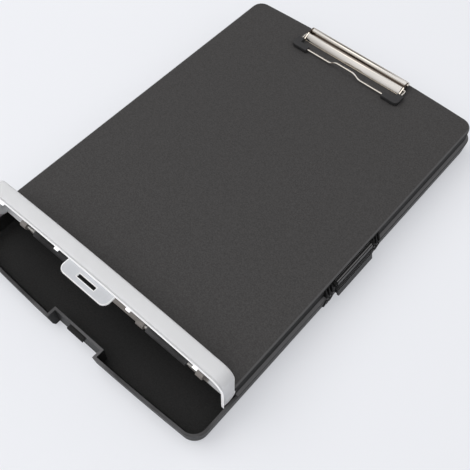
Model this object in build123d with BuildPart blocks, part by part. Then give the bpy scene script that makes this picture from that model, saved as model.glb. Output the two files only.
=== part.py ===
"""Storage clipboard: a flat document box with a hinged cover, a pen lid and a paper clip."""

from math import atan2, degrees
import os

from build123d import *

# Sizes are in millimetres. X runs to the latch side, Y to the clip end and Z up.
# The origin is the middle of the underside. The box is drawn with its cover shut
# and its pen lid standing open.

# Box
base_width = 243.0
base_length = 361.0
total_height = 33.0
end_bow = 3.6
corner_radius = 13.0

# Base tray
rim_height = 18.3
belly_height = 4.5
belly_inset = 1.5
foot_inset = 3.5
floor_thickness = 2.0
wall_thickness = 2.2
floor_cove = 2.5

# Cover
cover_plate = 2.4
cover_skirt = 2.0
cover_inset = 2.5
cover_lip_inset = 0.3
cover_lip_height = 2.2
cover_web_bite = 1.4
crease_radius = 2.2
parting_gap = 0.5
compartment_length = 46.7

# Wall between the document well and the pen compartment
divider_thickness = 2.0
divider_side_gap = 1.2
divider_top_gap = 0.4

# Cover hinge, along the left side
cover_hinge_out = 2.4
cover_hinge_drop = 0.6
knuckle_radius = 2.8
knuckle_count = 3
knuckle_gap = 0.4
hinge_length = 50.0
hinge_spacing = 190.0
pocket_clearance = 0.35
hinge_pin_radius = 1.25
pin_clearance = 0.05
gusset_drop = 10.0
gusset_bite = 0.6
cover_web_rise = 6.4

# Pen lid
lid_wall = 1.6
roll_radius = 6.5
roll_gap = 0.3
lid_knuckle_radius = 2.9
lid_knuckle_insets = ((90.0, 83.0), (31.5, 25.5))
lid_web = 2.4
barrel_insets = (80.0, 41.0)
barrel_gap = 0.6
bracket_top_gap = 0.5
bracket_depth = 9.0
lid_pin_inset = 1.0
lip_spans = ((27.0, 57.0), (84.0, 110.0))
lip_gap = 1.2
lip_thickness = 1.2
lip_reach = 2.5
lip_shelf_rise = 1.0
lip_shelf_thickness = 1.6

# Lid tab and its catch
tab_width = 46.4
tab_length = 10.5
tab_thickness = 1.4
tab_corner_radius = 5.5
tab_slot_width = 17.4
tab_slot_height = 3.0
tab_slot_drop = 3.1
recess_side_gap = 0.8
recess_depth = 5.2
recess_wall = 2.0
catch_side_gap = 0.5
catch_height = 2.4
catch_gap = 0.3

# Side latch
latch_length = 44.0
latch_axis_out = 1.2
latch_axis_drop = 5.4
latch_barrel_radius = 2.2
latch_pin_radius = 1.0
latch_plate = 1.8
latch_bend_drop = 5.1
latch_bend_out = 0.5
latch_lip_drop = 15.6
latch_lip_out = 2.4
latch_toe_drop = 14.0
latch_toe_height = 1.6
latch_toe_gap = 0.3
latch_rib_radius = 0.55
latch_rib_drops = (4.0, 6.2, 8.4)
ear_gap = 0.4
ear_width = 2.6
grip_rib_width = 1.5
grip_rib_pitch = 3.5
grip_rib_count = 3
grip_rib_gap = 0.75
grip_rib_proud = 1.2

# Paper clip
clip_half_length = 51.0
clip_inset = 16.5
sheet = 0.9
clip_plate_depth = 10.5
clip_ear_gap = 0.6
clip_ear = 1.0
rod_radius = 1.9
rod_clearance = 0.06
rod_behind = 7.3
rod_height = 3.7
rod_overhang = 0.8
ridge_height = 5.8
valley_height = 2.3
valley_start = 3.3
valley_end = 5.3
ridge_ahead = 7.1
edge_ahead = 11.8
edge_height = 1.4
curl_end_angle = -140.0
wire_radius = 0.9
wire_height = 2.5
wire_pivot_ahead = 6.3
wire_front_ahead = 22.3
wire_arm_gap = 1.9
wire_bend = 4.0
wire_end_bend = 1.6
wire_end_gap = 0.3
hump_half_base = 15.0
hump_half_top = 10.0
hump_rise = 4.0
hump_bend = 3.0
wire_sides = 16
clip_grip_width = 6.4
clip_grip_height = 3.6
clip_grip_inner_x = 41.0
clip_grip_side_length = 12.0
clip_grip_round = 0.8
clip_grip_corner = 4.0
rivet_spacing = 60.0
rivet_shank_radius = 1.5
rivet_head_radius = 3.0
rivet_head = 0.6
rivet_tail_radius = 2.4
rivet_tail = 0.9
rivet_clearance = 0.1
washer_radius = 3.5
washer_thickness = 0.8

# Worked out from the sizes above
half_width = base_width / 2
half_length = base_length / 2
cover_half = half_width - cover_inset
cover_end = half_length - cover_inset
cover_bottom = rim_height + parting_gap
cover_lip_top = cover_bottom + cover_lip_height
cover_ceiling = total_height - cover_plate
cover_front_y = compartment_length - half_length
divider_y = cover_front_y + divider_thickness / 2
divider_top = cover_ceiling - divider_top_gap
inner_skirt_front = cover_front_y + divider_thickness + parting_gap
cover_hinge_x = -(cover_half + cover_hinge_out)
cover_hinge_z = rim_height + cover_hinge_drop
knuckle_length = (hinge_length - (knuckle_count - 1) * knuckle_gap) / knuckle_count
lid_hinge_y = cover_front_y - roll_gap - roll_radius
lid_hinge_z = total_height - roll_radius
lid_knuckles = [(half_width - near, half_width - far) for near, far in lid_knuckle_insets]
barrel_start = half_width - barrel_insets[0]
barrel_end = half_width - barrel_insets[1]
latch_x = cover_half + latch_axis_out
latch_z = total_height - latch_axis_drop
clip_y = half_length - clip_inset
rod_y = clip_y + rod_behind
rod_z = total_height + rod_height
ear_inner_x = clip_half_length + clip_ear_gap
wire_y = rod_y - wire_pivot_ahead
wire_z = total_height + wire_height
wire_front_y = rod_y - wire_front_ahead
wire_arm_x = ear_inner_x + clip_ear + wire_arm_gap


def across(y):
    """Upright plane facing -Y at the given Y, drawn in X and Z."""
    return Plane(origin=(0, y, 0), x_dir=(1, 0, 0), z_dir=(0, -1, 0))


def along(x):
    """Upright plane facing +X at the given X, drawn in Y and Z."""
    return Plane(origin=(x, 0, 0), x_dir=(0, 1, 0), z_dir=(1, 0, 0))


# The lid is drawn as it lies when shut, on planes turned a quarter turn open about its hinge.
lid_turned = (0, lid_hinge_y - lid_hinge_z, lid_hinge_z + lid_hinge_y)


def lid_level(z):
    """Level plane of the shut lid at height z, turned open."""
    return Plane(origin=lid_turned, x_dir=(1, 0, 0), z_dir=(0, 1, 0)).offset(z)


def lid_section(x):
    """Upright plane across the shut lid at the given X, drawn in Y and Z, turned open."""
    return Plane(origin=lid_turned, x_dir=(0, 0, -1), z_dir=(1, 0, 0)).offset(x)


def outline(inset):
    """The box seen from above: straight sides, bowed ends and round corners, drawn in by inset."""
    corner_y = half_length - end_bow
    with BuildSketch(mode=Mode.PRIVATE) as shape:
        with BuildLine():
            Line((half_width, -corner_y), (half_width, corner_y))
            ThreePointArc((half_width, corner_y), (0, half_length), (-half_width, corner_y))
            Line((-half_width, corner_y), (-half_width, -corner_y))
            ThreePointArc((-half_width, -corner_y), (0, -half_length), (half_width, -corner_y))
        make_face()
        fillet(shape.vertices(), corner_radius)
        if inset > 0:
            offset(amount=-inset, mode=Mode.REPLACE)
    return shape.sketch


def keep_behind(y):
    """In a sketch, keep only what lies on the +Y side of y."""
    with Locations((0, y)):
        Rectangle(
            2 * base_width, 2 * base_length, align=(Align.CENTER, Align.MIN), mode=Mode.INTERSECT
        )


def keep_ahead(y):
    """In a sketch, keep only what lies on the -Y side of y."""
    with Locations((0, y)):
        Rectangle(
            2 * base_width, 2 * base_length, align=(Align.CENTER, Align.MAX), mode=Mode.INTERSECT
        )


def wall_face_x(z):
    """Half width of the base's leaning side wall at height z."""
    return half_width - belly_inset * (rim_height - z) / (rim_height - belly_height)


def latch_face_x(drop):
    """X of the latch's outer face at a distance below its pin: nearly upright, then flared."""
    out = latch_bend_out * min(drop / latch_bend_drop, 1)
    if drop > latch_bend_drop:
        out += latch_lip_out * (drop - latch_bend_drop) / (latch_lip_drop - latch_bend_drop)
    return latch_x + latch_barrel_radius + out


# Knuckles of the cover hinge: the base has the outer two of each group
knuckle_spans = []
for group_y in (-hinge_spacing / 2, hinge_spacing / 2):
    for index in range(knuckle_count):
        top_y = group_y + hinge_length / 2 - index * (knuckle_length + knuckle_gap)
        knuckle_spans.append((index % 2 == 0, top_y))

# Base tray: floor, leaning walls, divider, hinge barrels and the recess with its catch
with BuildPart() as base_tray:
    for z, inset in ((0, foot_inset), (belly_height, belly_inset), (rim_height, 0)):
        with BuildSketch(Plane.XY.offset(z)):
            add(outline(inset))
    loft(ruled=True)
    floor_inset = belly_inset + floor_cove
    for z, inset in ((floor_thickness, floor_inset), (belly_height, belly_inset), (rim_height, 0)):
        with BuildSketch(Plane.XY.offset(z)):
            add(outline(wall_thickness + inset))
    loft(ruled=True, mode=Mode.SUBTRACT)
    # The divider fills the section of the tray, then rises inside the cover's skirts
    with BuildSketch(across(divider_y + divider_thickness / 2)):
        foot_half = half_width - foot_inset - wall_thickness / 2
        belly_half = half_width - belly_inset - wall_thickness / 2
        top_half = half_width - wall_thickness / 2
        with BuildLine():
            Polyline(
                (-foot_half, floor_thickness / 2),
                (foot_half, floor_thickness / 2),
                (belly_half, belly_height),
                (top_half, rim_height),
                (-top_half, rim_height),
                (-belly_half, belly_height),
                close=True,
            )
        make_face()
    extrude(amount=divider_thickness)
    with BuildSketch(Plane.XY.offset(rim_height / 2)):
        with Locations((0, divider_y)):
            Rectangle(2 * (cover_half - cover_skirt - divider_side_gap), divider_thickness)
    extrude(amount=divider_top - rim_height / 2)
    # Lid hinge barrels on brackets from the divider
    for side in (-1, 1):
        start = min(side * barrel_start, side * barrel_end)
        with BuildSketch(along(start)):
            with BuildLine():
                Polyline(
                    (divider_y, lid_hinge_z - bracket_top_gap),
                    (lid_hinge_y, lid_hinge_z - bracket_top_gap),
                    (lid_hinge_y, lid_hinge_z - lid_knuckle_radius),
                    (divider_y, lid_hinge_z - bracket_depth - divider_thickness / 2),
                    close=True,
                )
            make_face()
            with Locations((lid_hinge_y, lid_hinge_z)):
                Circle(lid_knuckle_radius)
                Circle(hinge_pin_radius + pin_clearance, mode=Mode.SUBTRACT)
        extrude(amount=barrel_end - barrel_start)
    # Recess in the front wall for the lid's tab, with a wall behind it
    recess_half = tab_width / 2 + recess_side_gap
    recess_y = -cover_end + recess_depth
    with BuildSketch(along(-recess_half - wall_thickness)):
        wall_middle = -half_length + wall_thickness / 2
        with BuildLine():
            Polyline(
                (wall_middle + foot_inset, 0),
                (wall_middle + belly_inset, belly_height),
                (wall_middle, rim_height),
                (recess_y + recess_wall, rim_height),
                (recess_y + recess_wall, 0),
                close=True,
            )
        make_face()
    extrude(amount=2 * (recess_half + wall_thickness))
    with BuildSketch():
        with Locations((0, recess_y)):
            Rectangle(2 * recess_half, 2 * corner_radius, align=(Align.CENTER, Align.MAX))
    extrude(amount=rim_height, mode=Mode.SUBTRACT)
    # Catch nub that the tab's slot closes over
    catch_z = cover_bottom - tab_slot_drop - tab_slot_height / 2
    catch_reach = recess_depth - tab_thickness - catch_gap
    with BuildSketch(Plane.XY.offset(catch_z - catch_height / 2)):
        with Locations((0, recess_y + recess_wall / 2)):
            Rectangle(
                tab_slot_width - 2 * catch_side_gap,
                catch_reach + recess_wall / 2,
                align=(Align.CENTER, Align.MAX),
            )
    extrude(amount=catch_height)
    # Cover hinge: knuckles on gussets, with pockets between them for the cover's own
    for on_base, top_y in knuckle_spans:
        if on_base:
            with BuildSketch(across(top_y)):
                with BuildLine():
                    Polyline(
                        (cover_hinge_x - knuckle_radius, cover_hinge_z),
                        (cover_hinge_x, cover_hinge_z),
                        (-half_width + gusset_bite, rim_height),
                        (-belly_half - gusset_bite, cover_hinge_z - gusset_drop),
                        (-wall_face_x(cover_hinge_z - gusset_drop), cover_hinge_z - gusset_drop),
                        close=True,
                    )
                make_face()
                with Locations((cover_hinge_x, cover_hinge_z)):
                    Circle(knuckle_radius)
            extrude(amount=knuckle_length)
        else:
            with BuildSketch(across(top_y + knuckle_gap)):
                with Locations((cover_hinge_x, cover_hinge_z)):
                    Circle(knuckle_radius + pocket_clearance)
            extrude(amount=knuckle_length + 2 * knuckle_gap, mode=Mode.SUBTRACT)
    for group_y in (-hinge_spacing / 2, hinge_spacing / 2):
        with BuildSketch(across(group_y + hinge_length / 2)):
            with Locations((cover_hinge_x, cover_hinge_z)):
                Circle(hinge_pin_radius + pin_clearance)
        extrude(amount=hinge_length, mode=Mode.SUBTRACT)
    # Grip ribs either side of the latch, following the leaning wall
    for side in (-1, 1):
        for index in range(grip_rib_count):
            rib_y = latch_length / 2 + ear_gap + ear_width + grip_rib_gap + grip_rib_width / 2
            rib_y = side * (rib_y + index * grip_rib_pitch)
            with BuildSketch(across(rib_y + grip_rib_width / 2)):
                with BuildLine():
                    Polyline(
                        (top_half, rim_height),
                        (half_width + grip_rib_proud, rim_height - grip_rib_proud),
                        (half_width - belly_inset + grip_rib_proud, belly_height + grip_rib_proud),
                        (half_width - belly_inset, belly_height),
                        (belly_half, belly_height),
                        close=True,
                    )
                make_face()
            extrude(amount=grip_rib_width)
base_tray.part.label = "base_tray"

# Cover board: a plate with a skirt all round, hinge knuckles and the latch's ears
with BuildPart() as cover_board:
    for z, inset in ((cover_bottom, cover_lip_inset), (cover_lip_top, cover_inset)):
        with BuildSketch(Plane.XY.offset(z)):
            add(outline(inset))
            keep_behind(cover_front_y)
    loft(ruled=True)
    with BuildSketch(Plane.XY.offset(cover_lip_top)):
        add(outline(cover_inset))
        keep_behind(cover_front_y)
    extrude(amount=total_height - cover_lip_top)
    crease = cover_board.faces().sort_by(Axis.Z)[-1].edges()
    crease = crease.filter_by(lambda edge: edge.center().Y > cover_front_y + crease_radius)
    fillet(crease, crease_radius)
    with BuildSketch(Plane.XY.offset(cover_bottom)):
        add(outline(cover_inset + cover_skirt))
        keep_behind(inner_skirt_front + cover_skirt)
    extrude(amount=cover_ceiling - cover_bottom, mode=Mode.SUBTRACT)
    with BuildSketch(Plane.XY.offset(cover_bottom)):
        with Locations((0, cover_front_y)):
            Rectangle(
                2 * (cover_half - cover_skirt),
                inner_skirt_front - cover_front_y,
                align=(Align.CENTER, Align.MIN),
            )
    extrude(amount=cover_ceiling - cover_bottom, mode=Mode.SUBTRACT)
    # Hinge knuckles and the pockets that clear the base's own
    for on_base, top_y in knuckle_spans:
        if on_base:
            with BuildSketch(across(top_y + knuckle_gap)):
                with Locations((cover_hinge_x, cover_hinge_z)):
                    Circle(knuckle_radius + pocket_clearance)
            extrude(amount=knuckle_length + 2 * knuckle_gap, mode=Mode.SUBTRACT)
        else:
            with BuildSketch(across(top_y)):
                with BuildLine():
                    Polyline(
                        (cover_hinge_x - knuckle_radius, cover_hinge_z),
                        (cover_hinge_x, cover_bottom),
                        (-cover_half + cover_web_bite, cover_bottom),
                        (-cover_half + cover_web_bite, cover_hinge_z + cover_web_rise),
                        (-cover_half, cover_hinge_z + cover_web_rise),
                        close=True,
                    )
                make_face()
                with Locations((cover_hinge_x, cover_hinge_z)):
                    Circle(knuckle_radius)
            extrude(amount=knuckle_length)
    for group_y in (-hinge_spacing / 2, hinge_spacing / 2):
        with BuildSketch(across(group_y + hinge_length / 2)):
            with Locations((cover_hinge_x, cover_hinge_z)):
                Circle(hinge_pin_radius + pin_clearance)
        extrude(amount=hinge_length, mode=Mode.SUBTRACT)
    # Pocket for the latch's barrel, and an ear at each end of it
    with BuildSketch(across(latch_length / 2 + ear_gap)):
        with Locations((latch_x, latch_z)):
            Circle(latch_barrel_radius + pocket_clearance)
    extrude(amount=latch_length + 2 * ear_gap, mode=Mode.SUBTRACT)
    for top_y in (latch_length / 2 + ear_gap + ear_width, -latch_length / 2 - ear_gap):
        with BuildSketch(across(top_y)):
            with Locations((latch_x, latch_z)):
                Circle(latch_barrel_radius)
                Rectangle(
                    latch_axis_out + cover_skirt / 2,
                    2 * latch_barrel_radius,
                    align=(Align.MAX, Align.CENTER),
                )
                Circle(latch_pin_radius + pin_clearance, mode=Mode.SUBTRACT)
        extrude(amount=ear_width)
    # Grip ribs either side of the latch
    for side in (-1, 1):
        for index in range(grip_rib_count):
            rib_y = latch_length / 2 + ear_gap + ear_width + grip_rib_gap + grip_rib_width / 2
            rib_y = side * (rib_y + index * grip_rib_pitch)
            with BuildSketch(across(rib_y + grip_rib_width / 2)):
                with BuildLine():
                    Polyline(
                        (cover_half - cover_web_bite, cover_bottom),
                        (half_width - cover_lip_inset, cover_bottom),
                        (half_width + grip_rib_proud, cover_bottom + grip_rib_proud),
                        (cover_half + grip_rib_proud, total_height - 2 * crease_radius),
                        (cover_half, total_height - crease_radius),
                        (cover_half - cover_web_bite, total_height - crease_radius),
                        close=True,
                    )
                make_face()
            extrude(amount=grip_rib_width)
    # Rivet holes for the clip
    with BuildSketch(Plane.XY.offset(total_height)):
        with GridLocations(rivet_spacing, 1, 2, 1):
            with Locations((0, clip_y)):
                Circle(rivet_shank_radius + rivet_clearance)
    extrude(amount=-cover_plate, mode=Mode.SUBTRACT)
cover_board.part.label = "cover_board"

# Steel pins of the cover hinge, one in each group of knuckles
cover_hinge_pins = {}
for name, group_y in (("front", -hinge_spacing / 2), ("rear", hinge_spacing / 2)):
    with BuildPart() as pin:
        with BuildSketch(across(group_y + hinge_length / 2)):
            with Locations((cover_hinge_x, cover_hinge_z)):
                Circle(hinge_pin_radius)
        extrude(amount=hinge_length)
    pin.part.label = "cover_hinge_pin_" + name
    cover_hinge_pins[name] = pin

# Side latch: a barrel on its pin, a ribbed plate and a lip flared out for the finger
with BuildPart() as side_latch:
    toe_z = latch_z - latch_toe_drop
    toe_root_x = latch_face_x(latch_toe_drop) - latch_plate / 2
    with BuildSketch(across(latch_length / 2)):
        with BuildLine():
            Polyline(
                (latch_face_x(0) - latch_plate, latch_z),
                (latch_face_x(latch_bend_drop) - latch_plate, latch_z - latch_bend_drop),
                (latch_face_x(latch_lip_drop) - latch_plate, latch_z - latch_lip_drop),
                (latch_face_x(latch_lip_drop), latch_z - latch_lip_drop),
                (latch_face_x(latch_bend_drop), latch_z - latch_bend_drop),
                (latch_face_x(0), latch_z),
                close=True,
            )
        make_face()
        with BuildLine():
            Polyline(
                (toe_root_x, toe_z + latch_toe_height + latch_toe_height / 2),
                (wall_face_x(toe_z) + latch_toe_gap, toe_z + latch_toe_height),
                (wall_face_x(toe_z) + latch_toe_gap, toe_z),
                (toe_root_x, toe_z),
                close=True,
            )
        make_face()
        with Locations((latch_x, latch_z)):
            Circle(latch_barrel_radius)
        for drop in latch_rib_drops:
            with Locations((latch_face_x(drop), latch_z - drop)):
                Circle(latch_rib_radius)
        with Locations((latch_x, latch_z)):
            Circle(latch_pin_radius + pin_clearance, mode=Mode.SUBTRACT)
    extrude(amount=latch_length)
side_latch.part.label = "side_latch"

with BuildPart() as latch_pin:
    with BuildSketch(across(latch_length / 2 + ear_gap + ear_width)):
        with Locations((latch_x, latch_z)):
            Circle(latch_pin_radius)
    extrude(amount=latch_length + 2 * (ear_gap + ear_width))
latch_pin.part.label = "latch_pin"

# Pen lid: a clear shell with a rolled rear edge, knuckles under the roll and locating lips
with BuildPart() as pen_lid:
    shell_half = cover_half - lid_wall
    for z, inset in ((cover_bottom, cover_lip_inset), (cover_lip_top, cover_inset)):
        with BuildSketch(lid_level(z)):
            add(outline(inset))
            keep_ahead(lid_hinge_y)
    loft(ruled=True)
    with BuildSketch(lid_level(cover_lip_top)):
        add(outline(cover_inset))
        keep_ahead(lid_hinge_y)
    extrude(amount=total_height - cover_lip_top)
    with BuildSketch(lid_section(-cover_half)):
        with Locations((lid_hinge_y, lid_hinge_z)):
            Circle(roll_radius)
    extrude(amount=2 * cover_half)
    with BuildSketch(lid_level(cover_bottom)):
        add(outline(cover_inset + lid_wall))
        keep_ahead(lid_hinge_y)
    extrude(amount=total_height - lid_wall - cover_bottom, mode=Mode.SUBTRACT)
    with BuildSketch(lid_section(-shell_half)):
        with Locations((lid_hinge_y, lid_hinge_z)):
            Circle(roll_radius - lid_wall)
            Rectangle(2 * roll_radius, 2 * roll_radius, align=(Align.MIN, Align.MAX))
    extrude(amount=2 * shell_half, mode=Mode.SUBTRACT)
    for side in (-1, 1):
        # Gap in the roll round the base's barrel
        notch_start = barrel_start - barrel_gap
        notch_length = barrel_end - barrel_start + 2 * barrel_gap
        start = min(side * notch_start, side * (notch_start + notch_length))
        with BuildSketch(lid_section(start)):
            with Locations((lid_hinge_y - barrel_gap, lid_hinge_z - barrel_gap)):
                Rectangle(2 * roll_radius, 2 * roll_radius, align=(Align.MIN, Align.MIN))
        extrude(amount=notch_length, mode=Mode.SUBTRACT)
        # Knuckles hang from the roll on short webs
        for near, far in lid_knuckles:
            with BuildSketch(lid_section(min(side * near, side * far))):
                with Locations((lid_hinge_y, lid_hinge_z)):
                    Rectangle(
                        lid_web, roll_radius - lid_wall / 2, align=(Align.CENTER, Align.MIN)
                    )
                    Circle(lid_knuckle_radius)
                    Circle(hinge_pin_radius + pin_clearance, mode=Mode.SUBTRACT)
            extrude(amount=far - near)
        # Lips that drop inside the base's front wall, on a shelf from the lid's front
        for near, far in lip_spans:
            lip_inset = cover_inset + wall_thickness + lip_gap
            lip_low = rim_height - lip_reach + parting_gap
            shelf_low = cover_bottom + lip_shelf_rise
            with BuildSketch(lid_level(lip_low)):
                add(outline(lip_inset))
                add(outline(lip_inset + lip_thickness), mode=Mode.SUBTRACT)
                with Locations((side * (near + far) / 2, -cover_end)):
                    Rectangle(far - near, 2 * corner_radius, mode=Mode.INTERSECT)
            extrude(amount=shelf_low + lip_shelf_thickness - lip_low)
            with BuildSketch(lid_level(shelf_low)):
                add(outline(cover_inset + lid_wall / 2))
                add(outline(lip_inset + lip_thickness / 2), mode=Mode.SUBTRACT)
                with Locations((side * (near + far) / 2, -cover_end)):
                    Rectangle(far - near, 2 * corner_radius, mode=Mode.INTERSECT)
            extrude(amount=lip_shelf_thickness)
pen_lid.part.label = "pen_lid"

# Lid tab: hangs from the lid's front edge on a living hinge, with a slot for the catch
with BuildPart() as lid_tab:
    with BuildSketch(lid_level(cover_bottom - tab_length)):
        add(outline(cover_inset))
        add(outline(cover_inset + tab_thickness), mode=Mode.SUBTRACT)
        with Locations((0, -cover_end)):
            Rectangle(tab_width, 2 * corner_radius, mode=Mode.INTERSECT)
    extrude(amount=tab_length)
    fillet(lid_tab.edges().filter_by(Axis.Z).group_by(Axis.Y)[0], tab_corner_radius)
    with BuildSketch(lid_level(cover_bottom - tab_slot_drop - tab_slot_height)):
        with Locations((0, -cover_end)):
            Rectangle(tab_slot_width, 2 * corner_radius)
    extrude(amount=tab_slot_height, mode=Mode.SUBTRACT)
lid_tab.part.label = "lid_tab"

# Steel pins of the lid hinge, each through two lid knuckles and the barrel between them
lid_hinge_pins = {}
pin_start = lid_knuckles[0][0] + lid_pin_inset
pin_end = lid_knuckles[-1][1] - lid_pin_inset
for name, start in (("left", -pin_end), ("right", pin_start)):
    with BuildPart() as pin:
        with BuildSketch(along(start)):
            with Locations((lid_hinge_y, lid_hinge_z)):
                Circle(hinge_pin_radius)
        extrude(amount=pin_end - pin_start)
    pin.part.label = "lid_hinge_pin_" + name
    lid_hinge_pins[name] = pin

# Clip base plate: sheet steel with an ear at each end that carries the rod and the wire
with BuildPart() as clip_base_plate:
    plate_half = ear_inner_x + clip_ear
    plate_front = clip_y - clip_plate_depth / 2
    ear_radius = rod_radius + sheet
    with BuildSketch(Plane.XY.offset(total_height)):
        with Locations((0, clip_y)):
            Rectangle(2 * plate_half, clip_plate_depth)
        with GridLocations(rivet_spacing, 1, 2, 1):
            with Locations((0, clip_y)):
                Circle(rivet_shank_radius + rivet_clearance, mode=Mode.SUBTRACT)
    extrude(amount=sheet)
    for start in (-plate_half, ear_inner_x):
        with BuildSketch(along(start)):
            with BuildLine():
                Polyline(
                    (plate_front, total_height + sheet / 2),
                    (clip_y + clip_plate_depth / 2, total_height + sheet / 2),
                    (rod_y, rod_z - ear_radius),
                    (rod_y, rod_z + ear_radius),
                    (wire_y, rod_z + rod_radius),
                    (plate_front, wire_z),
                    close=True,
                )
            make_face()
            with Locations((rod_y, rod_z)):
                Circle(ear_radius)
                Circle(rod_radius + pin_clearance, mode=Mode.SUBTRACT)
            with Locations((wire_y, wire_z)):
                Circle(wire_radius + pin_clearance, mode=Mode.SUBTRACT)
        extrude(amount=clip_ear)
clip_base_plate.part.label = "clip_base_plate"

# Clip lever: one strip of sheet, folded in a ridge and a valley and curled round the rod
with BuildPart() as clip_lever:
    curl = rod_radius + rod_clearance + sheet / 2
    valley = Vector(rod_y - valley_start, total_height + valley_height)
    tangent = degrees(atan2(rod_z - valley.Y, rod_y - valley.X))
    run = (valley - Vector(rod_y, rod_z)).length
    curl_start = 90 + tangent + degrees(atan2(curl, (run**2 - curl**2) ** 0.5))
    with BuildSketch(along(-clip_half_length)):
        with BuildLine() as fold:
            arc = CenterArc((rod_y, rod_z), curl, curl_start, curl_end_angle - curl_start)
            Polyline(
                arc @ 0,
                valley,
                (rod_y - valley_end, total_height + valley_height),
                (rod_y - ridge_ahead, total_height + ridge_height),
                (rod_y - edge_ahead, total_height + edge_height),
            )
        trace(line_width=sheet)
    extrude(amount=2 * clip_half_length)
clip_lever.part.label = "clip_lever"

with BuildPart() as clip_hinge_rod:
    rod_half = ear_inner_x + clip_ear + rod_overhang
    with BuildSketch(along(-rod_half)):
        with Locations((rod_y, rod_z)):
            Circle(rod_radius)
    extrude(amount=2 * rod_half)
clip_hinge_rod.part.label = "clip_hinge_rod"

# The wire's line: in through the ears, forward along both sides and over a hump in the middle
wire_end_x = clip_half_length + wire_end_gap
with BuildLine() as wire_line:
    FilletPolyline(
        (-wire_end_x, wire_y, wire_z),
        (-wire_arm_x, wire_y, wire_z),
        (-wire_arm_x, wire_front_y, wire_z),
        (-hump_half_base, wire_front_y, wire_z),
        (-hump_half_top, wire_front_y, wire_z + hump_rise),
        (hump_half_top, wire_front_y, wire_z + hump_rise),
        (hump_half_base, wire_front_y, wire_z),
        (wire_arm_x, wire_front_y, wire_z),
        (wire_arm_x, wire_y, wire_z),
        (wire_end_x, wire_y, wire_z),
        radius=[
            wire_end_bend, wire_bend, hump_bend, hump_bend, hump_bend, hump_bend, wire_bend,
            wire_end_bend,
        ],
    )


with BuildPart() as clip_wire:
    with BuildSketch(Plane(origin=wire_line.line @ 0, z_dir=wire_line.line % 0)):
        RegularPolygon(wire_radius, wire_sides)
    sweep(path=wire_line.line)
clip_wire.part.label = "clip_wire"

# Rubber grips round the wire's two front corners
clip_grips = {}
for name, side in (("left", -1), ("right", 1)):
    with BuildPart() as grip:
        outer_x = wire_arm_x + clip_grip_width / 2
        front_y = wire_front_y - clip_grip_width / 2
        with BuildSketch(Plane.XY.offset(wire_z - clip_grip_height / 2)) as ell:
            with BuildLine():
                Polyline(
                    (side * clip_grip_inner_x, front_y),
                    (side * outer_x, front_y),
                    (side * outer_x, front_y + clip_grip_side_length),
                    (side * (outer_x - clip_grip_width), front_y + clip_grip_side_length),
                    (side * (outer_x - clip_grip_width), front_y + clip_grip_width),
                    (side * clip_grip_inner_x, front_y + clip_grip_width),
                    close=True,
                )
            make_face()
            corner = ell.vertices().sort_by_distance((side * outer_x, front_y, 0))[0]
            fillet(corner, clip_grip_corner)
        extrude(amount=clip_grip_height)
        chamfer(grip.faces().sort_by(Axis.Z)[-1].edges(), clip_grip_round)
        # Channel for the wire, open below
        with BuildSketch(Plane.XY.offset(wire_z - clip_grip_height / 2)):
            with BuildLine():
                FilletPolyline(
                    (side * hump_half_base, wire_front_y),
                    (side * wire_arm_x, wire_front_y),
                    (side * wire_arm_x, wire_y),
                    radius=wire_bend,
                )
            trace(line_width=2 * (wire_radius + pin_clearance))
        extrude(amount=clip_grip_height / 2 + wire_radius + pin_clearance, mode=Mode.SUBTRACT)
    grip.part.label = "clip_grip_" + name
    clip_grips[name] = grip

# Rivets through the base plate and the cover, each set over a washer underneath
clip_rivets = {}
clip_washers = {}
washer_bottom = cover_ceiling - washer_thickness
for name, x in (("left", -rivet_spacing / 2), ("right", rivet_spacing / 2)):
    with BuildPart() as rivet:
        with BuildSketch(Plane.XY.offset(washer_bottom - rivet_tail)):
            with Locations((x, clip_y)):
                Circle(rivet_tail_radius)
        extrude(amount=rivet_tail)
        with BuildSketch(Plane.XY.offset(washer_bottom)):
            with Locations((x, clip_y)):
                Circle(rivet_shank_radius)
        extrude(amount=total_height + sheet - washer_bottom)
        with BuildSketch(Plane.XY.offset(total_height + sheet)):
            with Locations((x, clip_y)):
                Circle(rivet_head_radius)
        extrude(amount=rivet_head)
    rivet.part.label = "clip_rivet_" + name
    clip_rivets[name] = rivet
    with BuildPart() as washer:
        with BuildSketch(Plane.XY.offset(washer_bottom)):
            with Locations((x, clip_y)):
                Circle(washer_radius)
                Circle(rivet_shank_radius + rivet_clearance, mode=Mode.SUBTRACT)
        extrude(amount=washer_thickness)
    washer.part.label = "clip_washer_" + name
    clip_washers[name] = washer

# One file for each piece
pieces = [
    base_tray, cover_board, side_latch, latch_pin, pen_lid, lid_tab,
    clip_base_plate, clip_lever, clip_hinge_rod, clip_wire,
    *cover_hinge_pins.values(), *lid_hinge_pins.values(), *clip_grips.values(),
    *clip_rivets.values(), *clip_washers.values(),
]
os.makedirs("parts", exist_ok=True)
for piece in pieces:
    export_step(piece.part, "parts/" + piece.part.label + ".step")
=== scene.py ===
"""Dressed model of a storage clipboard: black box, frosted pen lid and nickel spring clip."""

import math

import bpy
from mathutils import Matrix, Vector


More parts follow.
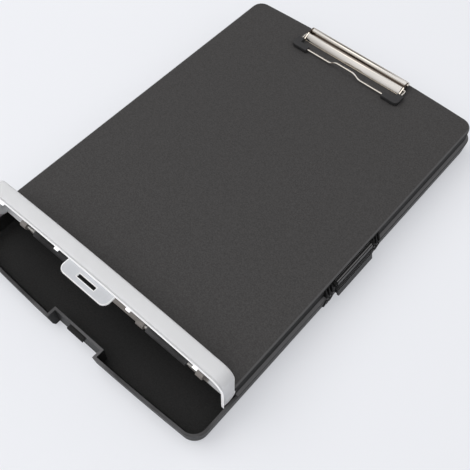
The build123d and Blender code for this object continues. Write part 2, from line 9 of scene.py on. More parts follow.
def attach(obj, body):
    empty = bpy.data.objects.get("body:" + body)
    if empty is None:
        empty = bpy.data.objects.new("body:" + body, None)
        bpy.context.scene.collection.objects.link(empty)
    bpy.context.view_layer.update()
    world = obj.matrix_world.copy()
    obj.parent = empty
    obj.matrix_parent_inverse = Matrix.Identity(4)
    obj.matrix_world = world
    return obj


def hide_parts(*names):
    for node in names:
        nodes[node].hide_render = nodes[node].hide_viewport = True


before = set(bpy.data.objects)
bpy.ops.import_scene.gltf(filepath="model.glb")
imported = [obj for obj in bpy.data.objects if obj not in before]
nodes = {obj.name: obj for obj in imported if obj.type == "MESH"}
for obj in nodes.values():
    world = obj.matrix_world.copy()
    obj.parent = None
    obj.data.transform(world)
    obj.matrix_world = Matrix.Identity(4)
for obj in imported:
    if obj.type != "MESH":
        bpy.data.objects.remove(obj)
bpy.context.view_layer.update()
scene = bpy.context.scene
scene.view_settings.view_transform = "Standard"
bpy.ops.object.select_all(action="DESELECT")


# Camera: a hand-held view from the near right corner, looking down across the box.
# Place and aim come from a camera fitted to the box's own edges in the photograph.
camera_place = Vector((0.22444, -0.25900, 0.49028))
camera_yaw = -0.7094
camera_pitch = 1.01373
camera_roll = 0.010168
camera_lens_mm = 53.99
camera_film_mm = 36
camera_nearest = 0.01

view = Vector((
    math.sin(camera_yaw) * math.cos(camera_pitch),
    math.cos(camera_yaw) * math.cos(camera_pitch),
    -math.sin(camera_pitch),
))
level = view.cross(Vector((0, 0, 1))).normalized()
upright = level.cross(view)
across = level * math.cos(camera_roll) + upright * math.sin(camera_roll)
up = upright * math.cos(camera_roll) - level * math.sin(camera_roll)
camera_turn = Matrix((across, up, -view)).transposed()

camera_data = bpy.data.cameras.new("camera")
camera_data.lens = camera_lens_mm
camera_data.sensor_width = camera_film_mm
camera_data.clip_start = camera_nearest
camera = bpy.data.objects.new("camera", camera_data)
camera.matrix_world = Matrix.Translation(camera_place) @ camera_turn.to_4x4()
scene.collection.objects.link(camera)
scene.camera = camera


# Base tray: injection-moulded black polypropylene with a fine spark-eroded grain.
# Its floor and foot are a little duller, and from the rim's height up, the divider too, it is
# painted paler in patches as a painted highlight.
class Value:
    """A shader socket on which plain Python sums work, each of them a Math node."""

    def __init__(self, tree, socket):
        self.tree = tree
        self.socket = socket

    def math(self, operation, *others):
        sockets = dict(enumerate((self, *others)))
        return self.tree.node("ShaderNodeMath", {"operation": operation}, sockets)

    def __add__(self, other):
        return self.math("ADD", other)

    def __sub__(self, other):
        return self.math("SUBTRACT", other)

    def __mul__(self, other):
        return self.math("MULTIPLY", other)

    def __abs__(self):
        return self.math("ABSOLUTE")

    __radd__ = __add__
    __rmul__ = __mul__

    def __rsub__(self, other):
        return self * -1 + other

    def at_least(self, lowest):
        return self.math("MAXIMUM", lowest)

    def at_most(self, highest):
        return self.math("MINIMUM", highest)

    def ramp(self, low, high):
        """Rise smoothly from 0 at low to 1 at high, or fall where low is the larger."""
        rise = self.tree.node(
            "ShaderNodeMapRange", {"interpolation_type": "SMOOTHSTEP"},
            {"Value": self, "From Min": min(low, high), "From Max": max(low, high)}, "Result",
        )
        return rise if low < high else 1 - rise

    def band(self, start, full, fade, end):
        """1 from full to fade, and 0 before start and after end."""
        return self.ramp(start, full) * self.ramp(end, fade)


class NodeTree:
    """A tree of shader nodes, with one method that adds any other node to it."""

    # A Mix node's colour sockets share their names with others, so they go by number.
    mix_first, mix_second, mix_result = 6, 7, 2

    def __init__(self, tree):
        self.tree = tree

    def plug(self, socket, value):
        """Link a value to a socket, or write a plain number or colour on it."""
        if isinstance(value, Value):
            self.tree.links.new(value.socket, socket)
        else:
            socket.default_value = value

    def node(self, kind, settings=None, sockets=None, output=0):
        made = self.tree.nodes.new(kind)
        for name, value in (settings or {}).items():
            setattr(made, name, value)
        for name, value in (sockets or {}).items():
            self.plug(made.inputs[name], value)
        return Value(self, made.outputs[output])

    def along(self, point, axis):
        return self.node("ShaderNodeSeparateXYZ", sockets={"Vector": point}, output=axis)

    def place(self, axis=None):
        """The point on the piece, in metres, or its distance along one axis."""
        point = self.node("ShaderNodeTexCoord", output="Object")
        return self.along(point, axis) if axis else point

    def noise(self, scale, detail=2, roughness=0.5, stretch=None):
        """Clouds from 0 to 1, with scale of them to the metre."""
        point = self.place()
        if stretch:
            point = self.node("ShaderNodeMapping", sockets={"Vector": point, "Scale": stretch})
        return self.node(
            "ShaderNodeTexNoise",
            sockets={"Vector": point, "Scale": scale, "Detail": detail, "Roughness": roughness},
            output="Fac",
        )

    def blend(self, factor, first, second):
        """The first colour where factor is 0, and the second where it is 1."""
        first, second = (
            colour if isinstance(colour, Value) else (*colour, 1) for colour in (first, second)
        )
        return self.node(
            "ShaderNodeMix", {"data_type": "RGBA"},
            {"Factor": factor, self.mix_first: first, self.mix_second: second},
            self.mix_result,
        )


class Finish(NodeTree):
    """A material with one Principled shader, whose constants go on its own sockets."""

    def __init__(self, name, **constants):
        self.material = bpy.data.materials.new(name)
        self.material.use_nodes = True
        super().__init__(self.material.node_tree)
        self.shader = self.tree.nodes["Principled BSDF"]
        for socket, value in constants.items():
            self.feed(socket.replace("_", " "), value)

    def feed(self, socket, value):
        self.plug(self.shader.inputs[socket], value)

    def bump(self, height, strength, distance):
        sockets = {"Height": height, "Strength": strength, "Distance": distance}
        self.feed("Normal", self.node("ShaderNodeBump", sockets=sockets))


def dress(name, finish):
    """Give a CAD node its finish."""
    mesh = nodes[name].data
    mesh.materials.clear()
    mesh.materials.append(finish.material)


tray_dark = (0.008, 0.008, 0.008)
tray_light = (0.030, 0.030, 0.030)
tray_highlight = (0.115, 0.114, 0.118)
tray_highlight_rise = (0.0180, 0.0183)
tray_highlight_cloud = (0.25, 0.75)
tray_foot_rise = (0.0060, 0.0030)

tray_black = Finish("tray_plastic", Specular_IOR_Level=0.14)
tray_grain = tray_black.noise(1500, detail=3, roughness=0.6)
tray_cloud = tray_black.noise(22, detail=3)
tray_speck = tray_black.noise(900)
tray_height = tray_black.place("Z")
# Painted highlight: everything from the rim's height up is blended towards a paler grey in
# cloudy patches.
tray_rim_highlight = tray_height.ramp(*tray_highlight_rise) * tray_cloud.ramp(*tray_highlight_cloud)
tray_foot = tray_height.ramp(*tray_foot_rise)
tray_plain = tray_black.blend(tray_speck, tray_dark, tray_light)
tray_black.feed("Base Color", tray_black.blend(tray_rim_highlight, tray_plain, tray_highlight))
tray_black.feed("Roughness", 0.40 + tray_grain * 0.12 + tray_cloud * 0.06 + tray_foot * 0.08)
tray_black.bump(tray_grain + tray_cloud * 0.4, strength=0.35, distance=0.00012)
dress("base_tray", tray_black)


# Cover board: the writing surface, moulded with its skirts in the same black polypropylene.
# Its grain is a little stronger than the tray's, and the crease round the top is glossier.
# The crease and the skirt's lip carry painted highlights, and the skirts are painted far darker
# than the top as painted shade.
cover_top_dark = (0.032, 0.031, 0.031)
cover_top_light = (0.082, 0.080, 0.080)
cover_shaded_side_dark = (0.003, 0.003, 0.003)
cover_shaded_side_light = (0.013, 0.013, 0.013)
cover_crease_highlight = (0.105, 0.104, 0.106)
cover_lip_highlight = (0.125, 0.124, 0.127)
cover_lip_band = (0.0186, 0.0190, 0.0208, 0.0214)
cover_crease_band = (0.0310, 0.0320, 0.0326, 0.03298)
cover_top_rise = (0.0318, 0.0328)

cover_black = Finish("cover_plastic", Specular_IOR_Level=0.09)
cover_cells = cover_black.node(
    "ShaderNodeTexVoronoi", sockets={"Vector": cover_black.place(), "Scale": 1100},
    output="Distance",
)
cover_grain = cover_black.noise(1700, detail=3, roughness=0.6)
cover_cloud = cover_black.noise(16, detail=3)
cover_speck = cover_black.noise(900)
cover_height = cover_black.place("Z")
cover_upper = cover_height.ramp(*cover_top_rise)
cover_crease = cover_height.band(*cover_crease_band)
cover_lip = cover_height.band(*cover_lip_band)
cover_top = cover_black.blend(cover_speck, cover_top_dark, cover_top_light)
# Painted shade: the skirts below the top take a far darker black than the top.
cover_shaded_side = cover_black.blend(cover_speck, cover_shaded_side_dark, cover_shaded_side_light)
cover_top_and_shaded_side = cover_black.blend(cover_upper, cover_shaded_side, cover_top)
# Painted highlight: the rounded crease round the top is painted paler.
cover_with_crease_highlight = cover_black.blend(cover_crease, cover_top_and_shaded_side, cover_crease_highlight)
# Painted highlight: the skirt's lower lip is painted paler still.
cover_black.feed("Base Color", cover_black.blend(cover_lip, cover_with_crease_highlight, cover_lip_highlight))
cover_black.feed(
    "Roughness", 0.50 + cover_grain * 0.10 + cover_cloud * 0.05 - cover_crease * 0.14
)
cover_black.bump(cover_grain + cover_cells * 0.5, strength=0.40, distance=0.00013)
dress("cover_board", cover_black)


# Side latch: a snap of black polypropylene with finger ribs along it, which turns on a drawn
# steel pin. Fingers polish it, and its top edge and the edges of its ribs carry thin painted
# highlights.
latch_dark = (0.004, 0.004, 0.004)
latch_light = (0.012, 0.012, 0.012)
latch_edge_highlight = (0.16, 0.158, 0.16)
latch_edge_height = 0.0295
latch_edge_fade = (0.00022, 0.00008)
latch_rib_heights = (0.0283, 0.0270, 0.0236, 0.0214, 0.0192)
latch_rib_fade = (0.00026, 0.00010)

latch_black = Finish("latch_plastic", Specular_IOR_Level=0.2)
latch_grain = latch_black.noise(1800)
latch_height = latch_black.place("Z")
# Painted highlights: thin paler lines at the top edge and along each rib.
latch_highlight_lines = abs(latch_height - latch_edge_height).ramp(*latch_edge_fade)
for rib_height in latch_rib_heights:
    latch_highlight_lines = latch_highlight_lines + abs(latch_height - rib_height).ramp(*latch_rib_fade)
latch_plain = latch_black.blend(latch_grain, latch_dark, latch_light)
latch_black.feed(
    "Base Color", latch_black.blend(latch_highlight_lines.at_most(1), latch_plain, latch_edge_highlight)
)
latch_black.feed("Roughness", 0.30 + latch_grain * 0.10)
latch_black.bump(latch_grain, strength=0.25, distance=0.0001)
dress("side_latch", latch_black)


# Hinge and latch pins and the rivets' washers: drawn or stamped steel with fine lines.
# They sit inside the plastic and show only at the hinges' gaps.
pin_dark = (0.48, 0.47, 0.45)
pin_light = (0.66, 0.65, 0.63)
pin_line_stretch = (0.05, 1, 1)

pin_steel = Finish("pin_steel", Metallic=1.0)
pin_lines = pin_steel.noise(900, stretch=pin_line_stretch)
pin_steel.feed("Base Color", pin_steel.blend(pin_lines, pin_dark, pin_light))
pin_steel.feed("Roughness", 0.20 + pin_lines * 0.16)
for pin in (
    "cover_hinge_pin_front", "cover_hinge_pin_rear", "latch_pin", "lid_hinge_pin_left",
    "lid_hinge_pin_right", "clip_washer_left", "clip_washer_right",
):
    dress(pin, pin_steel)


# Pen lid: a shell of milky polypropylene, moulded 1.6 mm thick with a flared lip, a quarter
# roll at its hinge edge, four knuckles and small nubs that drop inside the tray's wall.
# The lip's thin edge is painted white and made to glow as a painted highlight, and the knuckles
# are painted a brownish dark as painted shade.
hair = 0.00001
soft_edge = 0.0003
smooth_up_to = math.radians(35)
soften_from = math.radians(50)
quarter_turn = math.radians(90)
across_turn = (0, quarter_turn, 0)


def choose(*pieces):
    """Select these pieces alone, with the first of them active."""
    bpy.ops.object.select_all(action="DESELECT")
    for piece in pieces:
        piece.select_set(True)
    bpy.context.view_layer.objects.active = pieces[0]


def edit_all():
    bpy.ops.object.mode_set(mode="EDIT")
    bpy.ops.mesh.select_all(action="SELECT")


def end_edit():
    bpy.ops.object.mode_set(mode="OBJECT")


def settle():
    """Put the chosen piece's place, turn and scale in its mesh."""
    bpy.ops.object.transform_apply(location=True, rotation=True, scale=True)


def face_outwards():
    bpy.ops.mesh.select_all(action="SELECT")
    bpy.ops.mesh.normals_make_consistent(inside=False)


def begin_line(name, point):
    """Start a piece as one point, in edit mode, from which its line is drawn out."""
    bpy.ops.object.select_all(action="DESELECT")
    bpy.ops.mesh.primitive_plane_add(size=0.001, location=(0, 0, 0))
    piece = bpy.context.object
    piece.name = name
    edit_all()
    bpy.ops.mesh.select_mode(type="VERT")
    bpy.ops.mesh.select_all(action="SELECT")
    bpy.ops.mesh.merge(type="CENTER")
    bpy.ops.transform.translate(value=point)
    return piece


def draw_out(step):
    bpy.ops.mesh.extrude_region_move(TRANSFORM_OT_translate={"value": step})


def turn_round(centre, axis, angle, steps):
    """Draw what is selected out round an axis, by the right-hand rule."""
    bpy.ops.mesh.spin(steps=steps, angle=-angle, center=centre, axis=axis)


def pick(piece, kind, test):
    """Select, in edit mode, the vertices, edges or faces whose middle passes the test."""
    bpy.ops.mesh.select_all(action="DESELECT")
    bpy.ops.mesh.select_mode(type=kind)
    end_edit()
    points = piece.data.vertices
    if kind == "VERT":
        for point in points:
            point.select = test(point.co)
    else:
        items = piece.data.edges if kind == "EDGE" else piece.data.polygons
        for item in items:
            corners = [points[index].co for index in item.vertices]
            item.select = test(sum(corners, Vector()) / len(corners))
    bpy.ops.object.mode_set(mode="EDIT")


def apply_modifier(piece, kind, **settings):
    """Add a modifier to the piece and apply it."""
    choose(piece)
    modifier = piece.modifiers.new(kind.lower(), kind)
    for name, value in settings.items():
        setattr(modifier, name, value)
    bpy.ops.object.modifier_apply(modifier=modifier.name)


def soften_edges(piece, width, segments):
    """Round the sharp edges alone."""
    apply_modifier(
        piece, "BEVEL", width=width, segments=segments, limit_method="ANGLE",
        angle_limit=soften_from,
    )


def add_block(centre, size):
    bpy.ops.mesh.primitive_cube_add(size=1, location=centre, scale=size)
    return bpy.context.object


def finish_piece(piece, finish, body, stands_for):
    """Smooth a piece, give it its finish and hand it over in place of its CAD node."""
    choose(piece)
    settle()
    edit_all()
    bpy.ops.mesh.remove_doubles(threshold=hair)
    bpy.ops.mesh.delete_loose()
    face_outwards()
    end_edit()
    bpy.ops.object.shade_smooth_by_angle(angle=smooth_up_to)
    piece.data.materials.clear()
    piece.data.materials.append(finish.material)
    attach(piece, body)
    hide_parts(stands_for)


# The lid is drawn as it lies when shut, and turned open once it is whole.
lid_hinge = Vector((0, -0.1406, 0.0265))
lid_top = 0.0330
lid_inset = 0.0025
lid_wall = 0.0016
lid_edge_round = 0.0014
lid_edge_steps = 4
lid_front_start = -0.160
lid_hinge_clear = 0.0005
lid_lip_top = 0.0210
lid_lip_bottom = 0.0188
lid_lip_inset = 0.0003
rim_half_width = 0.1215
rim_corner_centre = Vector((0.1085, -0.16461, 0))
rim_corner_steps = 12
rim_end_centre = Vector((0, 1.8716, 0))
rim_end_angle = math.radians(3.05)
rim_end_steps = 32
roll_radius = lid_top - lid_hinge.z
roll_steps = 8
disc_sides = 48
barrel_gap_start = 0.0412
barrel_gap_end = 0.0808
knuckle_radius = 0.0029
knuckle_sides = 32
knuckle_wall = 0.0016
knuckle_spans = ((0.0315, 0.0385), (0.0900, 0.0960))
web_low = lid_hinge.z + 0.0026
web_high = lid_top - lid_wall / 2
web_width = 0.0024
nub_size = (0.0040, 0.0011, 0.0032)
nub_height = 0.0190
nub_places = ((0.036, -0.17665), (0.097, -0.17465))
lid_open = (
    Matrix.Translation(lid_hinge) @ Matrix.Rotation(-quarter_turn, 4, "X")
    @ Matrix.Translation(-lid_hinge)
)

# Its finish is told by where the open lid's knuckles and lip stand.
lid_flow_stretch = (0.08, 1, 1)
lid_milky = (0.82, 0.83, 0.845)
lid_milkier = (0.88, 0.89, 0.905)
lid_shade = (0.30, 0.265, 0.235)
lid_shade_across = (0.1000, 0.0980)
lid_shade_depth = (-0.1366, -0.1374)
lid_shade_height = (0.0306, 0.0296)
lip_edge_rise = (-0.1477, -0.1481)
painted_edge_white = (0.95, 0.95, 0.95)
painted_edge_glow = (0.95, 0.95, 0.97)
no_glow = (0, 0, 0)

lid_clear = Finish(
    "frosted_plastic", Transmission_Weight=0.30, IOR=1.45, Specular_IOR_Level=0.45,
    Emission_Strength=0.36,
)
lid_grain = lid_clear.noise(900)
lid_cloud = lid_clear.noise(28)
lid_flow = lid_clear.noise(60, stretch=lid_flow_stretch)
lid_depth = lid_clear.place("Y")
# Painted highlight: the lip's edge is painted white and given a glow.
lid_edge_highlight = lid_depth.ramp(*lip_edge_rise)
# Painted shade: the knuckles and webs under the open lid are painted a brownish dark.
lid_knuckle_shade = (
    lid_clear.place("Z").ramp(*lid_shade_height) * lid_depth.ramp(*lid_shade_depth)
    * abs(lid_clear.place("X")).ramp(*lid_shade_across)
)
lid_milk = lid_clear.blend(lid_cloud, lid_milky, lid_milkier)
lid_shaded = lid_clear.blend(lid_knuckle_shade * 0.85, lid_milk, lid_shade)
lid_clear.feed("Base Color", lid_clear.blend(lid_edge_highlight, lid_shaded, painted_edge_white))
lid_clear.feed("Emission Color", lid_clear.blend(lid_edge_highlight, no_glow, painted_edge_glow))
lid_clear.feed("Roughness", 0.40 + lid_grain * 0.12 - lid_edge_highlight * 0.15)
lid_clear.bump(lid_grain + lid_flow * 0.5, strength=0.15, distance=0.00008)


def draw_lid_line(name, inset, height):
    """Draw the shut lid's edge, seen from above, from its right hinge end to its left one."""
    rise = Vector((0, 0, height))
    down = Vector((0, 0, -1))
    run = Vector((0, rim_corner_centre.y - lid_hinge.y, 0))
    corner_turn = quarter_turn - rim_end_angle
    left_centre = Vector((-rim_corner_centre.x, rim_corner_centre.y, 0))
    piece = begin_line(name, Vector((rim_half_width - inset, lid_hinge.y, height)))
    draw_out(run)
    turn_round(rim_corner_centre + rise, down, corner_turn, rim_corner_steps)
    turn_round(rim_end_centre + rise, down, 2 * rim_end_angle, rim_end_steps)
    turn_round(left_centre + rise, down, corner_turn, rim_corner_steps)
    draw_out(-run)
    bpy.ops.mesh.select_all(action="SELECT")
    return piece


def on_lip_line(point):
    return point.z < lid_lip_top + hair and point.y < lid_hinge.y - hair


def on_roll_line(point):
    """The top's hinge edge, but not over the tray's barrels."""
    return (
        abs(point.z - lid_top) < hair and abs(point.y - lid_hinge.y) < hair
        and not barrel_gap_start < abs(point.x) < barrel_gap_end
    )


def on_top_edge(point):
    """The top's outer edge, at both ends and along the front."""
    at_end = abs(point.x) > rim_half_width - lid_inset - 10 * hair
    return (
        abs(point.z - lid_top) < hair and point.y < lid_hinge.y - lid_hinge_clear
        and (at_end or point.y < lid_front_start)
    )


lid_shell = draw_lid_line("pen_lid_shell", lid_inset, lid_lip_top)
draw_out((0, 0, lid_top - lid_lip_top))
bpy.ops.mesh.edge_face_add()
end_edit()
lid_lip = draw_lid_line("pen_lid_lip", lid_lip_inset, lid_lip_bottom)
end_edit()
choose(lid_shell, lid_lip)
bpy.ops.object.join()
bpy.ops.object.mode_set(mode="EDIT")
pick(lid_shell, "EDGE", on_lip_line)
bpy.ops.mesh.bridge_edge_loops()
for cut in (barrel_gap_start, barrel_gap_end, -barrel_gap_start, -barrel_gap_end):
    bpy.ops.mesh.select_all(action="SELECT")
    bpy.ops.mesh.bisect(plane_co=(cut, 0, 0), plane_no=(1, 0, 0))
pick(lid_shell, "EDGE", on_roll_line)
turn_round(lid_hinge, (1, 0, 0), -quarter_turn, roll_steps)
bpy.ops.mesh.select_all(action="SELECT")
bpy.ops.mesh.remove_doubles(threshold=hair)
face_outwards()
pick(lid_shell, "EDGE", on_top_edge)
bpy.ops.mesh.bevel(offset=lid_edge_round, segments=lid_edge_steps)
end_edit()
apply_modifier(lid_shell, "SOLIDIFY", thickness=lid_wall, offset=-1, use_even_offset=True)
edit_all()
bpy.ops.mesh.bisect(plane_co=(0, 0, lid_lip_bottom), plane_no=(0, 0, 1), clear_inner=True)
bpy.ops.mesh.select_all(action="DESELECT")
bpy.ops.mesh.select_mode(type="EDGE")
bpy.ops.mesh.select_non_manifold()
bpy.ops.mesh.fill()
end_edit()
soften_edges(lid_shell, width=soft_edge, segments=2)

lid_parts = [lid_shell]
for side in (-1, 1):
    disc_place = side * (rim_half_width - lid_inset - lid_wall / 2)
    bpy.ops.mesh.primitive_cylinder_add(
        vertices=disc_sides, radius=roll_radius, depth=lid_wall,
        location=(disc_place, lid_hinge.y, lid_hinge.z), rotation=across_turn,
    )
    lid_parts.append(bpy.context.object)
    for near, far in knuckle_spans:
        bpy.ops.mesh.primitive_circle_add(
            vertices=knuckle_sides, radius=knuckle_radius,
            location=(side * near, lid_hinge.y, lid_hinge.z), rotation=across_turn,
        )
        knuckle = bpy.context.object
        settle()
        edit_all()
        draw_out((side * (far - near), 0, 0))
        face_outwards()
        end_edit()
        apply_modifier(
            knuckle, "SOLIDIFY", thickness=knuckle_wall, offset=-1, use_even_offset=True
        )
        lid_parts.append(knuckle)
        web_centre = (side * (near + far) / 2, lid_hinge.y, (web_low + web_high) / 2)
        lid_parts.append(add_block(web_centre, (far - near, web_width, web_high - web_low)))
    for nub_along, nub_depth in nub_places:
        nub = add_block((side * nub_along, nub_depth, nub_height), nub_size)
        apply_modifier(nub, "BEVEL", width=soft_edge, segments=2)
        lid_parts.append(nub)
choose(*lid_parts)
bpy.ops.object.join()
lid_shell.matrix_world = lid_open
finish_piece(lid_shell, lid_clear, "lid", "pen_lid")


# Lid tab: moulded in one with the lid and bent at a thin line, with a slot for the catch.
# Its edges and the slot's edge are painted white and made to glow faintly, as a painted
# highlight like the lid's lip.
tab_milky = (0.70, 0.72, 0.75)
tab_milkier = (0.75, 0.77, 0.80)
tab_corner_side = 0.0177
tab_corner_drop = 0.1533
tab_edge_rise = (0.0046, 0.0050)
tab_slot_side = 0.0087
tab_slot_top = 0.1514
tab_slot_bottom = 0.1544
tab_slot_rise = (0.0008, 0.0004)
tab_bend_fade = (0.1500, 0.1497)
tab_bend_pitch = 0.0009

tab_clear = Finish(
    "frosted_tab", Transmission_Weight=0.34, IOR=1.45, Specular_IOR_Level=0.45,
    Emission_Strength=0.08,
)
tab_grain = tab_clear.noise(900)
tab_side = abs(tab_clear.place("X"))
tab_drop = tab_clear.place("Y") * -1
tab_out = (tab_side - tab_corner_side).at_least(0)
tab_down = (tab_drop - tab_corner_drop).at_least(0)
tab_reach = (tab_out * tab_out + tab_down * tab_down).math("SQRT")
slot_out = (tab_side - tab_slot_side).at_least(0)
slot_up = (tab_slot_top - tab_drop).at_least(0)
slot_down = (tab_drop - tab_slot_bottom).at_least(0)
slot_reach = (slot_out * slot_out + slot_up * slot_up + slot_down * slot_down).math("SQRT")
tab_wave = (tab_drop * (2 * math.pi / tab_bend_pitch)).math("SINE")
tab_bend = tab_wave * tab_drop.ramp(*tab_bend_fade)
# Painted highlight: the outer edge and the slot's edge are painted white and given a faint
# glow.
tab_edge_highlight = (tab_reach.ramp(*tab_edge_rise) + slot_reach.ramp(*tab_slot_rise)).at_most(1)
tab_milk = tab_clear.blend(tab_grain, tab_milky, tab_milkier)
tab_clear.feed("Base Color", tab_clear.blend(tab_edge_highlight, tab_milk, painted_edge_white))
tab_clear.feed("Emission Color", tab_clear.blend(tab_edge_highlight, no_glow, painted_edge_glow))
tab_clear.feed("Roughness", 0.38 + tab_grain * 0.12)
tab_clear.bump(tab_grain * 0.4 + tab_bend + tab_edge_highlight, strength=0.3, distance=0.00015)
dress("lid_tab", tab_clear)


# Clip base, rod and rivets: a pressed sheet with an ear at each end, riveted to the cover,
# and the steel rod through its ears. All are bright nickel plated over rolled sheet. The
# lever's valley is painted dark brown, as a painted reflection of the dark room round it.
nickel_dull = (0.80, 0.765, 0.715)
nickel_bright = (0.90, 0.865, 0.82)
nickel_painted_reflection = (0.13, 0.095, 0.070)
nickel_roll_stretch = (0.03, 1, 1)
valley_depth_band = (0.1652, 0.1658, 0.1694, 0.1702)
valley_height_fade = (0.0382, 0.0372)

nickel = Finish("clip_nickel", Metallic=1.0)
rolled = nickel.noise(700, detail=3, stretch=nickel_roll_stretch)
tarnish = nickel.noise(60, detail=3)
# Painted reflection: the lever's valley is painted dark brown.
nickel_valley_reflection = (
    nickel.place("Z").ramp(*valley_height_fade) * nickel.place("Y").band(*valley_depth_band)
)
nickel_plain = nickel.blend(tarnish, nickel_dull, nickel_bright)
nickel.feed("Base Color", nickel.blend(nickel_valley_reflection * 0.9, nickel_plain, nickel_painted_reflection))
nickel.feed("Roughness", 0.10 + rolled * 0.08 + tarnish * 0.03)
nickel.bump(rolled, strength=0.08, distance=0.00005)
for plated in ("clip_base_plate", "clip_hinge_rod", "clip_rivet_left", "clip_rivet_right"):
    dress(plated, nickel)


# Clip lever: one strip of nickel-plated sheet steel, pressed to a ridge and a valley and
# curled round the rod. Its cut edges are tumbled, so they catch a thin line of light.
lever_half = 0.051
lever_sheet = 0.0009
lever_edge_round = 0.00016
lever_front = Vector((-lever_half, 0.1595, 0.0344))
lever_ridge = Vector((-lever_half, 0.1642, 0.0393))
lever_valley_front = Vector((-lever_half, 0.1660, 0.0353))
lever_valley_back = Vector((-lever_half, 0.1680, 0.0353))
ridge_width = 0.0019
valley_width = 0.0007
fold_steps = 8
rod_centre = Vector((-lever_half, 0.1713, 0.0367))
curl_radius = 0.00241
curl_start = math.radians(155.2)
curl_end = math.radians(-140)
curl_steps = 28
curl_point = rod_centre + curl_radius * Vector((0, math.cos(curl_start), math.sin(curl_start)))
lever_line = (lever_front, lever_ridge, lever_valley_front, lever_valley_back, curl_point)

lever = begin_line("paper_clip_lever", lever_front)
for last, point in zip(lever_line, lever_line[1:]):
    draw_out(point - last)
turn_round(rod_centre, (1, 0, 0), curl_end - curl_start, curl_steps)
for fold, width in (
    (lever_ridge, ridge_width), (lever_valley_front, valley_width),
    (lever_valley_back, valley_width),
):
    pick(lever, "VERT", lambda point: (point - fold).length < 5 * hair)
    bpy.ops.mesh.bevel(affect="VERTICES", offset=width, segments=fold_steps)
bpy.ops.mesh.select_all(action="SELECT")
draw_out((2 * lever_half, 0, 0))
face_outwards()
end_edit()
apply_modifier(lever, "SOLIDIFY", thickness=lever_sheet, offset=0, use_even_offset=True)
soften_edges(lever, width=lever_edge_round, segments=2)
finish_piece(lever, nickel, "lever", "clip_lever")


# Clip wire: one length of drawn, nickel-plated spring wire, turned in through the ears and
# bent forward along both sides and over a thumb hump in the middle.
wire_half = 0.0545
wire_end = 0.0513
wire_pivot = 0.165
wire_front = 0.149
wire_low = 0.0355
wire_high = 0.0395
wire_radius = 0.0009
wire_sides = 20
hump_base = 0.015
hump_top = 0.010
wire_route = [
    Vector(point) for point in (
        (-wire_end, wire_pivot, wire_low),
        (-wire_half, wire_pivot, wire_low),
        (-wire_half, wire_front, wire_low),
        (-hump_base, wire_front, wire_low),
        (-hump_top, wire_front, wire_high),
        (hump_top, wire_front, wire_high),
        (hump_base, wire_front, wire_low),
        (wire_half, wire_front, wire_low),
        (wire_half, wire_pivot, wire_low),
        (wire_end, wire_pivot, wire_low),
    )
]
wire_bends = (0.0016, 0.004, 0.007, 0.010, 0.010, 0.007, 0.004, 0.0016)
wire_bend_steps = 10

bpy.ops.mesh.primitive_circle_add(
    vertices=wire_sides, radius=wire_radius, location=wire_route[0], rotation=across_turn
)
wire = bpy.context.object
wire.name = "paper_clip_wire"
settle()
edit_all()
wire_tip = wire_route[0]
for last, corner, following, radius in zip(
    wire_route, wire_route[1:], wire_route[2:], wire_bends
):
    heading = (corner - last).normalized()
    leaving = (following - corner).normalized()
    bend = heading.angle(leaving)
    trim = radius * math.tan(bend / 2)
    bend_axis = heading.cross(leaving).normalized()
    bend_centre = corner - trim * heading + radius * bend_axis.cross(heading)
    draw_out(corner - trim * heading - wire_tip)
    turn_round(bend_centre, bend_axis, bend, wire_bend_steps)
    wire_tip = corner + trim * leaving
draw_out(wire_route[-1] - wire_tip)
bpy.ops.mesh.select_all(action="SELECT")
bpy.ops.mesh.fill_holes(sides=0)
end_edit()
finish_piece(wire, nickel, "wire_frame", "clip_wire")


# Grips: soft black rubber sleeves, moulded as an L and pushed over the wire's two front
# corners. They have softened edges and a dull skin.
rubber_dark = (0.026, 0.026, 0.027)
rubber_light = (0.038, 0.038, 0.040)
grip_inner = 0.0410
grip_outer = 0.0577
grip_front = 0.1458
grip_back = 0.1578
grip_width = 0.0064
grip_bottom = 0.0337
grip_top = 0.0373
grip_corner = 0.0040
grip_corner_steps = 8
grip_edge_round = 0.0006
grip_step = grip_outer - grip_width
grip_step_back = grip_front + grip_width

rubber = Finish("grip_rubber", Specular_IOR_Level=0.4)
rubber_grain = rubber.noise(1400)
rubber.feed("Base Color", rubber.blend(rubber_grain, rubber_dark, rubber_light))
rubber.feed("Roughness", 0.5 + rubber_grain * 0.15)
rubber.bump(rubber_grain, strength=0.3, distance=0.0001)


def on_grip_step(point):
    return abs(point.y - grip_step_back) < hair and abs(point.x) > grip_step


def on_grip_corner(point):
    return abs(abs(point.x) - grip_outer) < hair and abs(point.y - grip_front) < hair


for side, name in ((-1, "left"), (1, "right")):
    bpy.ops.object.select_all(action="DESELECT")
    grip_centre = (
        side * (grip_inner + grip_outer) / 2, grip_front + grip_width / 2,
        (grip_bottom + grip_top) / 2,
    )
    grip = add_block(
        grip_centre, (grip_outer - grip_inner, grip_width, grip_top - grip_bottom)
    )
    grip.name = "rubber_grip_" + name
    settle()
    edit_all()
    bpy.ops.mesh.bisect(plane_co=(side * grip_step, 0, 0), plane_no=(1, 0, 0))
    pick(grip, "FACE", on_grip_step)
    draw_out((0, grip_back - grip_step_back, 0))
    pick(grip, "EDGE", on_grip_corner)
    bpy.ops.mesh.bevel(offset=grip_corner, segments=grip_corner_steps)
    end_edit()
    soften_edges(grip, width=grip_edge_round, segments=3)
    finish_piece(grip, rubber, "wire_frame", "clip_grip_" + name)


# Floor: one pale seamless sheet under the box, wide enough to fill every view. What looks
# straight at it sees nearly half of its colour as it is and the rest lit, which keeps a soft
# shadow.
floor_size = 8.0
floor_pale = (0.835, 0.85, 0.89)
floor_paler = (0.85, 0.865, 0.90)
floor_glow_share = 0.45

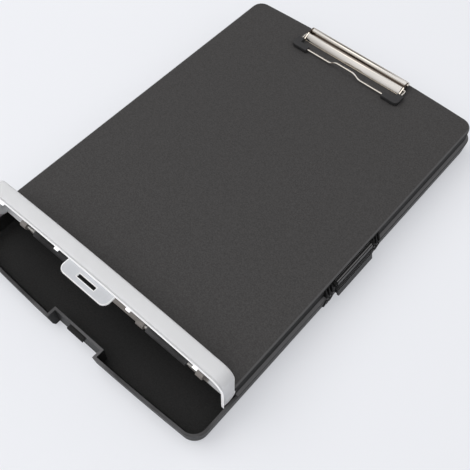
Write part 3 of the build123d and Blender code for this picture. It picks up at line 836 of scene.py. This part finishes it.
bpy.ops.mesh.primitive_plane_add(size=floor_size, location=(0, 0, 0))
floor = bpy.context.object
floor.name = "floor"
floor_sheet = Finish("floor_sheet", Roughness=0.9, Specular_IOR_Level=0.2)
floor_cloud = floor_sheet.noise(3, detail=1)
floor_sheet.feed("Base Color", floor_sheet.blend(floor_cloud, floor_pale, floor_paler))
floor_direct, floor_gloss, floor_through = (
    floor_sheet.node("ShaderNodeLightPath", output=ray)
    for ray in ("Is Camera Ray", "Is Glossy Ray", "Is Transmission Ray")
)
floor_seen = (floor_direct + floor_gloss + floor_through).at_most(1) * floor_glow_share
floor_lit = Value(floor_sheet, floor_sheet.shader.outputs["BSDF"])
floor_glow = floor_sheet.node(
    "ShaderNodeEmission", sockets={"Color": (*floor_pale, 1), "Strength": 1}
)
floor_mix = floor_sheet.node(
    "ShaderNodeMixShader", sockets={0: floor_seen, 1: floor_lit, 2: floor_glow}
)
floor_sheet.plug(floor_sheet.tree.nodes["Material Output"].inputs["Surface"], floor_mix)
floor.data.materials.append(floor_sheet.material)


# Light: a white studio ceiling with a dark hatch and a bright panel in it, which fades to a
# dim warm wall at the horizon, and one broad soft lamp from the left.
studio_strength = 0.88
studio_backdrop = (0.85, 0.86, 0.89)
wall_colour = (0.18, 0.155, 0.135)
ceiling_colour = (0.99, 0.99, 1.0)
ceiling_rise = (0.10, 0.60)
hatch_aim = (-0.342, 0.520, 0.783)
hatch_rise = (0.925, 0.966)
hatch_colour = (0.050, 0.036, 0.028)
panel_aim = (-0.360, -0.220, 0.906)
panel_rise = (0.945, 0.985)
panel_colour = (1.75, 1.66, 1.55)
lamp_place = Vector((-1.0, -0.55, 1.8))
lamp_width = 2.2
lamp_depth = 2.0
lamp_watts = 20

world = bpy.data.worlds.new("studio")
world.use_nodes = True
scene.world = world
studio = NodeTree(world.node_tree)
studio_way = studio.node("ShaderNodeTexCoord", output="Generated")
studio_height = studio.along(studio_way, "Z")
studio_sky = studio.blend(studio_height.ramp(*ceiling_rise), wall_colour, ceiling_colour)
for aim, rise, colour in (
    (hatch_aim, hatch_rise, hatch_colour), (panel_aim, panel_rise, panel_colour),
):
    nearness = studio.node(
        "ShaderNodeVectorMath", {"operation": "DOT_PRODUCT"}, {0: studio_way, 1: aim}, "Value"
    )
    studio_sky = studio.blend(nearness.ramp(*rise), studio_sky, colour)
studio_seen = studio.node("ShaderNodeLightPath", output="Is Camera Ray")
studio_background = studio.tree.nodes["Background"]
studio.plug(
    studio_background.inputs["Color"], studio.blend(studio_seen, studio_sky, studio_backdrop)
)
studio.plug(studio_background.inputs["Strength"], studio_strength)

lamp_data = bpy.data.lights.new("key", type="AREA")
lamp_data.shape = "RECTANGLE"
lamp_data.size = lamp_width
lamp_data.size_y = lamp_depth
lamp_data.energy = lamp_watts
lamp = bpy.data.objects.new("key", lamp_data)
lamp.location = lamp_place
lamp.rotation_euler = (-lamp_place).to_track_quat("-Z", "Y").to_euler()
lamp.visible_glossy = False
scene.collection.objects.link(lamp)
